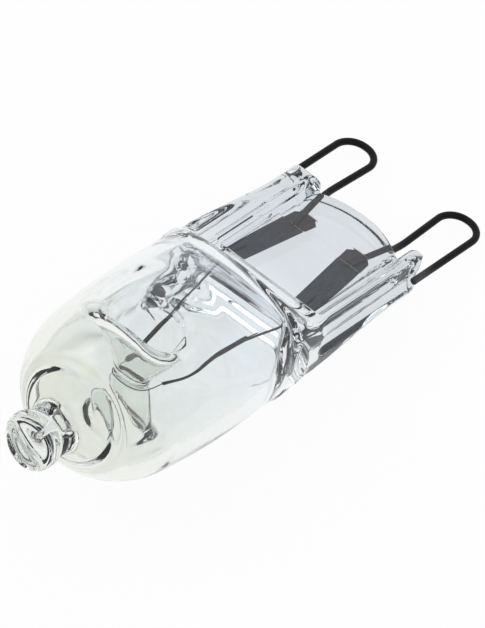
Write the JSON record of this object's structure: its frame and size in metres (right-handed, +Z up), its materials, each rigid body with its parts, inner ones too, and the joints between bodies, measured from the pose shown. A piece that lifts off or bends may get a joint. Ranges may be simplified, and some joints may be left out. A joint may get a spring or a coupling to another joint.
{
  "type": "halogen capsule bulb",
  "caption": "Clear mains halogen capsule lamp: blown quartz bulb with a flat pinch, a coiled filament and two wire contact loops.",
  "frame": {"origin": "on the surface the lamp lies on, under the middle of its box", "axes": "+X along the lamp from its exhaust tip to its contact loops, +Z up from the surface, +Y across the flat pinch"},
  "size_m": [0.0396, 0.013, 0.0146],
  "materials": {
    "quartz_glass": "clear, fire polished",
    "contact_wire": "dark oxidised wire",
    "molybdenum_foil": "dull grey rolled foil",
    "tungsten_wire": "dark drawn wire"
  },
  "bodies": {
    "root": {"quartz_envelope": "quartz_glass", "contact_loop_left": "contact_wire", "contact_loop_right": "contact_wire", "foil_left": "molybdenum_foil", "foil_right": "molybdenum_foil", "inner_lead_left": "tungsten_wire", "inner_lead_right": "tungsten_wire", "filament": "tungsten_wire"}
  },
  "joints": []
}
